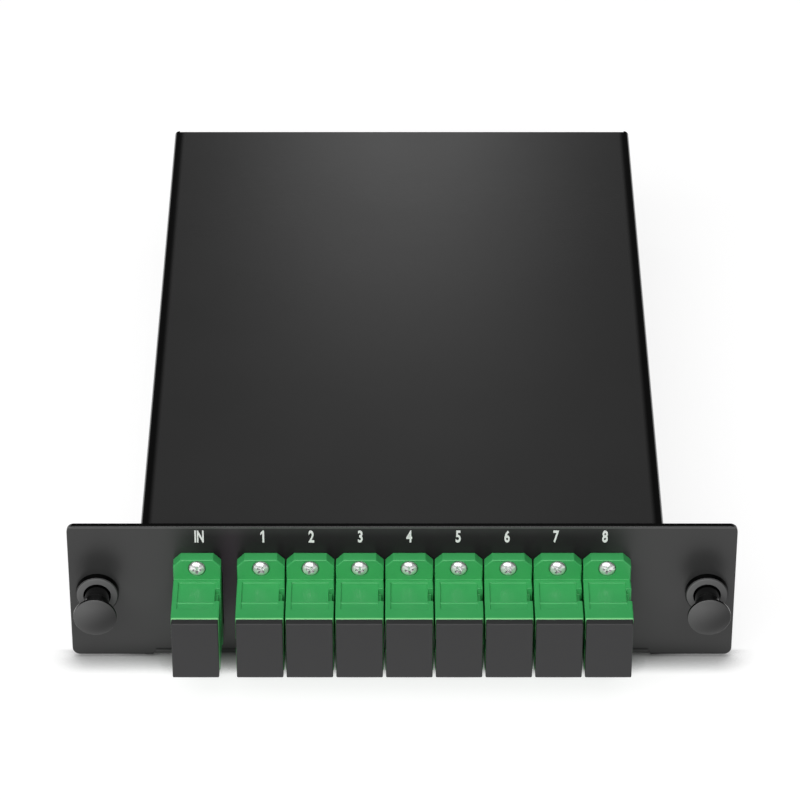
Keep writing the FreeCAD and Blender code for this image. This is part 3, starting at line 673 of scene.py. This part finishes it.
# %% One screw
head_radius = 1.6 * MM
head_height = 1.1 * MM
head_edge = 0.35 * MM        # straight edge under the dome
shank_radius = 1.0 * MM
shank_length = 5.0 * MM
screw_chamfer = 0.1 * MM
screw_segments = 48
screw_sharp_angle = 40       # degrees between faces with a sharp edge between them
dome_steps = 8
cross_reach = 0.98 * MM      # half length of the cross, at the head's surface
cross_half = 0.27 * MM       # half width of each slot
cross_depth = 0.75 * MM
cross_lead = 0.2 * MM        # the plug starts this far in front of the head
cross_shares = (1.1, 0.5)    # of its reach, where the plug starts and where it ends
cross_slimming = 0.4         # how much of that taper the width of a slot takes
sliver = 0.001 * MM


def screw_profile():
    """Half outline of the screw, from the top of its dome to the end of its shank."""
    points = dome(head_radius, head_height - head_edge, -head_height, dome_steps)
    points += [(head_radius, -screw_chamfer), (head_radius - screw_chamfer, 0), (shank_radius, 0)]
    points += [(shank_radius, shank_length - screw_chamfer), (shank_radius - screw_chamfer, shank_length)]
    return points + [(0, shank_length)]


def cross_plug():
    """Plug in the shape of a cross, along +Y from in front of the head, with arms that taper."""
    shape = bmesh.new()
    rings = []
    for y, share in zip((-head_height - cross_lead, -head_height + cross_depth), cross_shares):
        reach = cross_reach * share
        half = cross_half * (1 - cross_slimming + cross_slimming * share)
        ring = []
        for quarter in range(4):
            spin = Matrix.Rotation(-quarter * math.pi / 2, 4, "Y")
            for x, z in ((reach, -half), (reach, half), (half, half)):
                ring.append(shape.verts.new(spin @ Vector((x, y, z))))
        rings.append(ring)
        shape.faces.new(ring)
    for step in range(len(rings[0])):
        after = (step + 1) % len(rings[0])
        shape.faces.new((rings[0][step], rings[0][after], rings[1][after], rings[1][step]))
    bmesh.ops.recalc_face_normals(shape, faces=shape.faces)
    bmesh.ops.triangulate(shape, faces=[face for face in shape.faces if len(face.verts) > 4])
    return shape


def without_slivers(mesh):
    """The mesh with corners that all but touch merged, and empty faces gone."""
    shape = bmesh.new()
    shape.from_mesh(mesh)
    bmesh.ops.remove_doubles(shape, verts=shape.verts, dist=sliver)
    bmesh.ops.dissolve_degenerate(shape, dist=sliver, edges=shape.edges)
    shape.to_mesh(mesh)
    shape.free()
    return mesh


def one_screw():
    """Screw with its head's underside at the origin, pointing along +Y."""
    body = add_object("screw_blank", to_mesh(lathe(screw_profile(), screw_segments), "screw_blank"))
    plug = add_object("cross_plug", to_mesh(cross_plug(), "cross_plug"))
    cut = body.modifiers.new("cross", "BOOLEAN")
    cut.operation = "DIFFERENCE"
    cut.solver = "EXACT"
    cut.object = plug
    mesh = without_slivers(plain_mesh(body))
    bpy.data.objects.remove(plug)
    mesh.shade_smooth()
    mesh.set_sharp_from_angle(angle=math.radians(screw_sharp_angle))
    body.modifiers.clear()
    body.data = mesh
    return body


screw = one_screw()
print("screw faces", len(screw.data.polygons))

# %% [markdown]
# A latch's plunger is a turned shape too: a knob with a slightly domed face, a collar, a neck and a pin.
# The same lathe makes it from its profile, fine enough that the dome shines evenly, and a Bevel modifier
# rounds its rims.

# %% The latch plungers
panel_face_y = panel_low.y
knob_radius = 4.2 * MM
collar_radius = 2.55 * MM
neck_radius = 2.4 * MM
pin_radius = 1.7 * MM
tip_radius = 1.0 * MM
knob_front = -8.65 * MM      # rim of the knob's face; this and the next six count from the panel's face
knob_back = -8.1 * MM
collar_back = -4.45 * MM
neck_front = -4.3 * MM
neck_back = -0.5 * MM
pin_back = 2.2 * MM
tip_end = 2.9 * MM
knob_dome = 0.9 * MM         # how far the middle of the knob's face stands out
knob_steps = 12
plunger_segments = 96
rim_rounding = 0.10 * MM
rim_segments = 3
rim_angle = 30               # degrees between faces whose edge is rounded


def plunger_profile():
    """Half outline of the plunger, from the top of the knob's dome to the end of its pin."""
    points = dome(knob_radius, knob_dome, knob_front - knob_dome, knob_steps)
    points += [(knob_radius, knob_back), (collar_radius, knob_back), (collar_radius, collar_back)]
    points += [(neck_radius, neck_front), (neck_radius, neck_back)]
    points += [(pin_radius, neck_back), (pin_radius, pin_back), (tip_radius, tip_end), (0, tip_end)]
    return points


def turned_plunger(node):
    centre = middle(node)
    shape = lathe(plunger_profile(), plunger_segments)
    bmesh.ops.translate(shape, verts=shape.verts, vec=(centre.x, panel_face_y, centre.z))
    mesh = to_mesh(shape, node + "_turned")
    mesh.shade_smooth()
    made = add_object(node + "_turned", mesh)
    round_edges(made, rim_rounding, rim_segments, rim_angle)
    return stand_in(made, node)


plungers = [turned_plunger("latch_plunger_" + side) for side in sides]
print("plunger faces", len(plungers[0].data.polygons))

# %% [markdown]
# All eighteen screws are copies of that one, so Geometry Nodes place them: one on each point, and each
# turned further than the last, because nobody lines screws up. An Array modifier would need even steps,
# and the input stands apart from the outputs. The tree ends in Realize Instances and Set Material, and
# the result is kept as a plain mesh.

# %% The row of screws
screw_turn = math.radians(37)
seat_low, seat_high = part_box("adapter_screws")


def screw_places():
    """A point under the head of each screw, one above and one below every port."""
    y = seat_low.y + head_height
    heights = (seat_low.z + head_radius, seat_high.z - head_radius)
    return [(middle("dust_cap_" + port).x, y, z) for port in port_names for z in heights]


def screw_row_tree():
    group = bpy.data.node_groups.new("screw_row", "GeometryNodeTree")
    face = group.interface
    face.new_socket("Places", in_out="INPUT", socket_type="NodeSocketGeometry")
    face.new_socket("Screw", in_out="INPUT", socket_type="NodeSocketObject")
    face.new_socket("Turn of each", in_out="INPUT", socket_type="NodeSocketFloat")
    face.new_socket("Finish", in_out="INPUT", socket_type="NodeSocketMaterial")
    face.new_socket("Screws", in_out="OUTPUT", socket_type="NodeSocketGeometry")
    row = Tree(group)
    given = group.nodes.new("NodeGroupInput").outputs
    turn = row.node("GeometryNodeInputIndex") * Value(row, given["Turn of each"])
    spin = row.node("FunctionNodeAxisAngleToRotation", None, {"Axis": (0, 1, 0), "Angle": turn})
    shape = row.node("GeometryNodeObjectInfo", None, {"Object": Value(row, given["Screw"])}, "Geometry")
    copies = row.node("GeometryNodeInstanceOnPoints", None,
                      {"Points": Value(row, given["Places"]), "Instance": shape, "Rotation": spin})
    solid = row.node("GeometryNodeRealizeInstances", None, {"Geometry": copies})
    dressed = row.node("GeometryNodeSetMaterial", None,
                       {"Geometry": solid, "Material": Value(row, given["Finish"])})
    row.put(group.nodes.new("NodeGroupOutput").inputs["Screws"], dressed)
    return group


def grow(thing, group, values):
    """Runs a geometry tree on an object and keeps its result as a plain mesh."""
    live = thing.modifiers.new(group.name, "NODES")
    live.node_group = group
    for item in group.interface.items_tree:
        if item.in_out == "INPUT" and item.name in values:
            live[item.identifier] = values[item.name]
    mesh = plain_mesh(thing)
    thing.modifiers.remove(live)
    thing.data = mesh
    return thing


points = bpy.data.meshes.new("screw_places")
points.from_pydata(screw_places(), [], [])
screws = grow(add_object("adapter_screw_row", points), screw_row_tree(),
              {"Screw": screw, "Turn of each": screw_turn, "Finish": nickel})
bpy.data.objects.remove(screw)
belongs(screws, "root", "bright_screw", "adapter_screws")
print("screw row", len(screws.data.polygons), "faces")

# %% [markdown]
# The labels over the adapters are silk-screened in white ink: IN over the input, then 1 to 8. Each is
# Blender's own plain font, thickened, made a mesh, and then squeezed to the narrow form that is printed.
# Only the 1 is drawn here, because the printed one has a flag. The ink stands a few hundredths of a
# millimetre proud of the powder coat. A picture of the print could be laid on the panel instead, but
# letters with a real outline stay sharp close up.

# %% Printed labels
label_height = 2.87 * MM
label_middle_z = panel_high.z - 2.4 * MM
label_narrowing = {"IN": 0.49, "1": 0.36}
digit_narrowing = 0.58       # for every other label
label_weight = 0.03          # thickening of the strokes, as a share of the font's size
label_spread = 0.988         # the print's spacing is this share of the adapters'
ink_proud = 0.03 * MM
blank_depth = 0.02           # a label's thickness before it is scaled to the ink's


def letters(text):
    """Flat closed mesh of a text in the XY plane, for a font size of 1."""
    curve = bpy.data.curves.new("label", "FONT")
    curve.body = text
    curve.offset = label_weight
    curve.resolution_u = 6
    curve.extrude = blank_depth / 2
    thing = add_object("label", curve)
    mesh = plain_mesh(thing)
    bpy.data.objects.remove(thing)
    return mesh


def figure_one():
    """Flat closed mesh of a 1 with a flag, for a height of 1."""
    outline = [(0.36, 0), (0.70, 0), (0.70, 1), (0.42, 1), (0, 0.80), (0, 0.62), (0.36, 0.76)]
    shape = bmesh.new()
    face = shape.faces.new([shape.verts.new((x, y, 0)) for x, y in outline])
    lifted = bmesh.ops.extrude_face_region(shape, geom=[face])["geom"]
    corners = [item for item in lifted if isinstance(item, bmesh.types.BMVert)]
    bmesh.ops.translate(shape, verts=corners, vec=(0, 0, blank_depth))
    bmesh.ops.recalc_face_normals(shape, faces=shape.faces)
    return to_mesh(shape, "figure_one")


def print_label(text, x):
    """Mesh of a label on the panel's face, with its middle at x."""
    mesh = figure_one() if text == "1" else letters(text)
    corners = [vertex.co for vertex in mesh.vertices]
    low = Vector(min(c[k] for c in corners) for k in range(3))
    high = Vector(max(c[k] for c in corners) for k in range(3))
    size = high - low
    scale = label_height / size.y
    for vertex in mesh.vertices:
        across, up, out = vertex.co - (low + high) / 2
        vertex.co = (x + across * scale * label_narrowing.get(text, digit_narrowing),
                     panel_face_y - ink_proud / 2 - out / size.z * ink_proud,
                     label_middle_z + up * scale)
    mesh.update()
    return mesh


ink = moulded("white_ink", (0.96, 0.95, 0.95), 0.45, 2 * MM, 0.2 * MM, 0.003 * MM)
for port in port_names:
    name = "label_" + port
    piece = add_object(name, print_label(port.upper(), middle("dust_cap_" + port).x * label_spread))
    piece.data.materials.append(ink)
    belongs(piece, "root", "core_white")
print("printed", len(port_names), "labels")

# %% [markdown]
# The floor is a pale sheet that keeps the object's shadow. It adds light of its own that only the camera
# and gloss see, so that it is white in the picture. Stronger lamps would whiten it too, but would bleach
# the object. That light fades where something stands within a few millimetres, which paints a dark line
# of painted shadow at the foot of the panel.

# %% Floor
floor_reach = 3.0
floor_albedo = 0.30
floor_lift = 0.82            # extra brightness of the floor, for the camera and for gloss
contact_reach = 6 * MM       # how near something has to be to dim that brightness
contact_power = 3.3
contact_back = panel_low.y + 3 * MM    # nothing dims it behind this, where the case's sides stand
contact_fade = 2 * MM


def make_floor():
    mesh = bpy.data.meshes.new("floor")
    corners = [(x * floor_reach, y * floor_reach, 0) for x, y in ((-1, -1), (1, -1), (1, 1), (-1, 1))]
    mesh.from_pydata(corners, [], [(0, 1, 2, 3)])
    made = add_object("floor", mesh)
    finish = Finish("white_floor", Roughness=0.9, Specular_IOR_Level=0.0)
    paper = finish.noise(20 * MM, 3.0)
    finish.colour(finish.blend(paper, grey(floor_albedo - 0.01), grey(floor_albedo)))
    seen = finish.node("ShaderNodeLightPath", out="Is Camera Ray")
    mirrored = finish.node("ShaderNodeLightPath", out="Is Glossy Ray")
    # Painted shadow: the floor's own light is dimmed near the object.
    open_air = finish.node("ShaderNodeAmbientOcclusion", {"samples": 8}, {"Distance": contact_reach}, "AO")
    open_air = open_air.math("POWER", open_air, contact_power)
    behind = finish.ramp(finish.axis("Y"), contact_back - contact_fade, contact_back)
    lit = (seen + mirrored) * open_air.math("MAXIMUM", open_air, behind)
    finish.put(finish.shader.inputs["Emission Color"], finish.blend(lit, grey(0.0), grey(1.0)))
    finish.shader.inputs["Emission Strength"].default_value = floor_lift
    mesh.materials.append(finish.material)
    return made


print("floor", make_floor().name)

# %% [markdown]
# The lamps stand where a studio would put them. A large soft box in front of the panel and above it
# lights the adapters' faces, one overhead lights the lid and the floor, and a small one behind leaves a
# pale reflection on the far half of the lid. A lamp's level is how bright its face is. A picture of a
# studio could light the scene too, but each lamp here can be moved by itself.

# %% World and lamps
world_level = 0.05


def make_lamp(name, place, target, width, height, level):
    """Soft box of a given brightness, where 1 is white."""
    data = bpy.data.lights.new(name, "AREA")
    data.shape = "RECTANGLE"
    data.size, data.size_y = width, height
    data.energy = level * math.pi * width * height
    lamp = bpy.data.objects.new(name, data)
    lamp.location = place
    lamp.rotation_euler = (Vector(target) - Vector(place)).to_track_quat("-Z", "Y").to_euler()
    bpy.context.scene.collection.objects.link(lamp)
    return lamp


world = bpy.data.worlds.new("studio")
bpy.context.scene.world = world
world.use_nodes = True
background = world.node_tree.nodes["Background"]
background.inputs["Color"].default_value = (1, 1, 1, 1)
background.inputs["Strength"].default_value = world_level
lamps = [
    make_lamp("top_softbox", (0.0, -0.30, 1.30), (0, -0.10, 0.0), 1.8, 1.4, 0.95),
    make_lamp("front_softbox", (-0.35, -1.10, 0.95), (0, -0.08, 0.02), 2.2, 0.8, 3.8),
    make_lamp("back_softbox", (0.0, 1.10, 0.60), (0, 0.05, 0.02), 0.12, 0.12, 2.3),
]
print("lamps", [lamp.name for lamp in lamps])

# %% [markdown]
# The Standard view shows colours as they are, so that white paper stays white, where a filmic one would
# turn it grey.

bpy.context.scene.view_settings.view_transform = "Standard"
